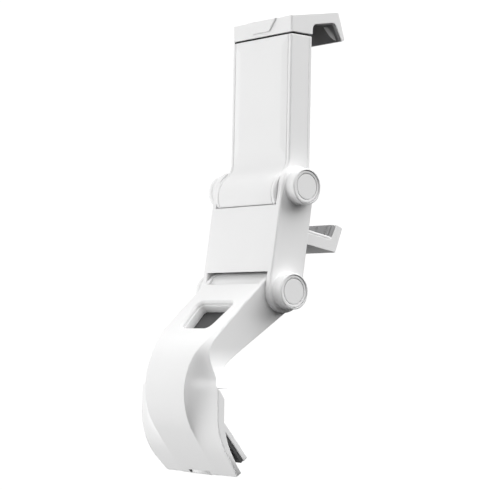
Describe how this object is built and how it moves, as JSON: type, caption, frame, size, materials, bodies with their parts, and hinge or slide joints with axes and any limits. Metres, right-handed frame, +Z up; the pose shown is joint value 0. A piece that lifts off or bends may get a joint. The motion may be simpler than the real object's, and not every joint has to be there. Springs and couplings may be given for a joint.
{
  "type": "controller phone clip",
  "caption": "Folding clip that grips a game controller with a C-shaped bracket and holds a phone in a sprung clamp, joined by a link with two friction hinges",
  "frame": {"origin": "centre of the rubber seat face that bears on the controller", "axes": "X across the clip's width, +Y the seat face's outward normal and the phone's side, +Z up along the upright clamp"},
  "size_m": [0.0448, 0.0623, 0.1558],
  "materials": {
    "white_plastic": "satin moulding",
    "grey_rubber": "matt",
    "steel": "plain",
    "brass": "turned",
    "friction_disc": "matt",
    "black_plastic": "matt"
  },
  "bodies": {
    "bracket": {"bracket_shell": "white_plastic", "bracket_liner": "white_plastic", "seat_pad": "grey_rubber", "tongue_pad": "grey_rubber", "hook_pad": "grey_rubber", "liner_screws": "steel", "lower_bushes": "brass"},
    "link": {"link_shell": "white_plastic", "link_back_cover": "white_plastic", "link_screws": "steel", "upper_hinge_pin": "steel", "lower_hinge_pin": "steel", "upper_hinge_nut": "steel", "lower_hinge_nut": "steel", "upper_cap_right": "white_plastic", "upper_cap_left": "white_plastic", "lower_cap_right": "white_plastic", "lower_cap_left": "white_plastic", "upper_friction_washers": "friction_disc", "lower_friction_washers": "friction_disc"},
    "clamp": {"clamp_housing": "white_plastic", "clamp_front_cover": "white_plastic", "clamp_back_plate": "white_plastic", "back_pad": "grey_rubber", "claw_pad": "grey_rubber", "clamp_screws": "steel", "upper_bushes": "brass", "jaw_spring_left": "steel", "jaw_spring_right": "steel"},
    "jaw": {"jaw_hook": "white_plastic", "jaw_trim": "white_plastic", "jaw_pad": "grey_rubber", "slide_rods": "steel", "slide_crosshead": "black_plastic", "rod_screws": "steel"}
  },
  "joints": [
    {"name": "lower_hinge", "type": "hinge", "parent": "bracket", "child": "link", "pos_m": [0, 0.02597, 0.03883], "axis": [1, 0, 0], "range_deg": [-46, 32]},
    {"name": "upper_hinge", "type": "hinge", "parent": "link", "child": "clamp", "pos_m": [0, 0.03077, 0.07343], "axis": [1, 0, 0], "range_deg": [0, 110]},
    {"name": "jaw_slide", "type": "slide", "parent": "clamp", "child": "jaw", "axis": [0, 0, 1], "range_m": [0, 0.018], "stiffness_N_per_m": 250, "springref_m": -0.012, "deforming": ["jaw_spring_left", "jaw_spring_right"]}
  ]
}
